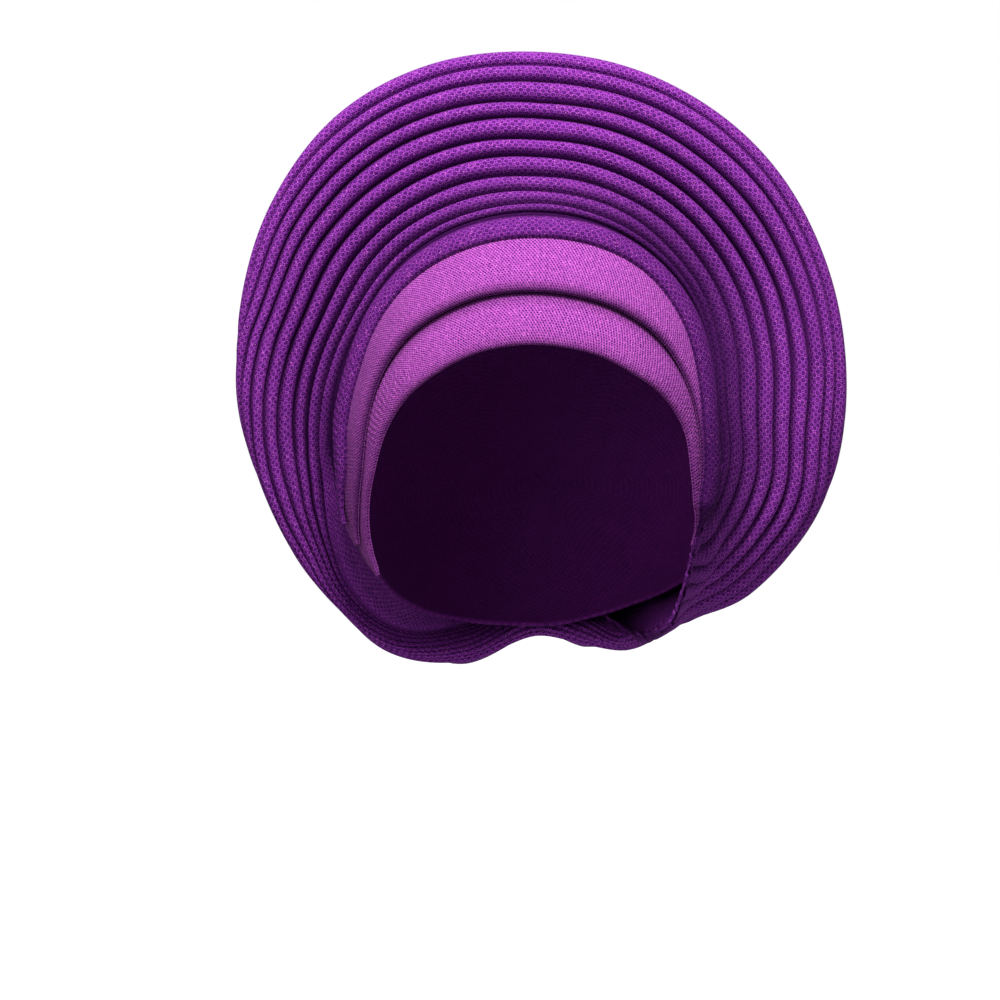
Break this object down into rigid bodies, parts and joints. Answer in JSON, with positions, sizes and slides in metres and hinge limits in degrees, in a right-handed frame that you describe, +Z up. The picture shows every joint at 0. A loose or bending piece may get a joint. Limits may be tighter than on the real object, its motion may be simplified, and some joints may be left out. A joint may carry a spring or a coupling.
{
  "type": "pleated head wrap",
  "caption": "Knitted cloth head wrap with a halo of rolled pleats, two forehead bands and a gathered back, worn over a bonnet.",
  "frame": {"origin": "the top of the wearer's head, inside the bonnet", "axes": "+X to the wearer's left, +Y to the back of the head, +Z up; the face looks along -Y"},
  "size_m": [0.2475, 0.1963, 0.2496],
  "materials": {
    "crown_cap": "dark smooth knitted cloth",
    "lower_forehead_band": "bright pitted knit with fine ribs at the temples",
    "upper_forehead_band": "bright pitted knit with a fine metallic sparkle",
    "brow_fold": "pitted knit on a narrow fold",
    "pleated_fan": "pitted knit laid in rolled pleats",
    "back_drape": "pitted knit in soft gathers"
  },
  "bodies": {
    "root": {"crown_cap": "crown_cap", "lower_forehead_band": "lower_forehead_band", "upper_forehead_band": "upper_forehead_band", "brow_fold": "brow_fold", "pleated_fan": "pleated_fan", "back_drape": "back_drape"}
  },
  "joints": []
}
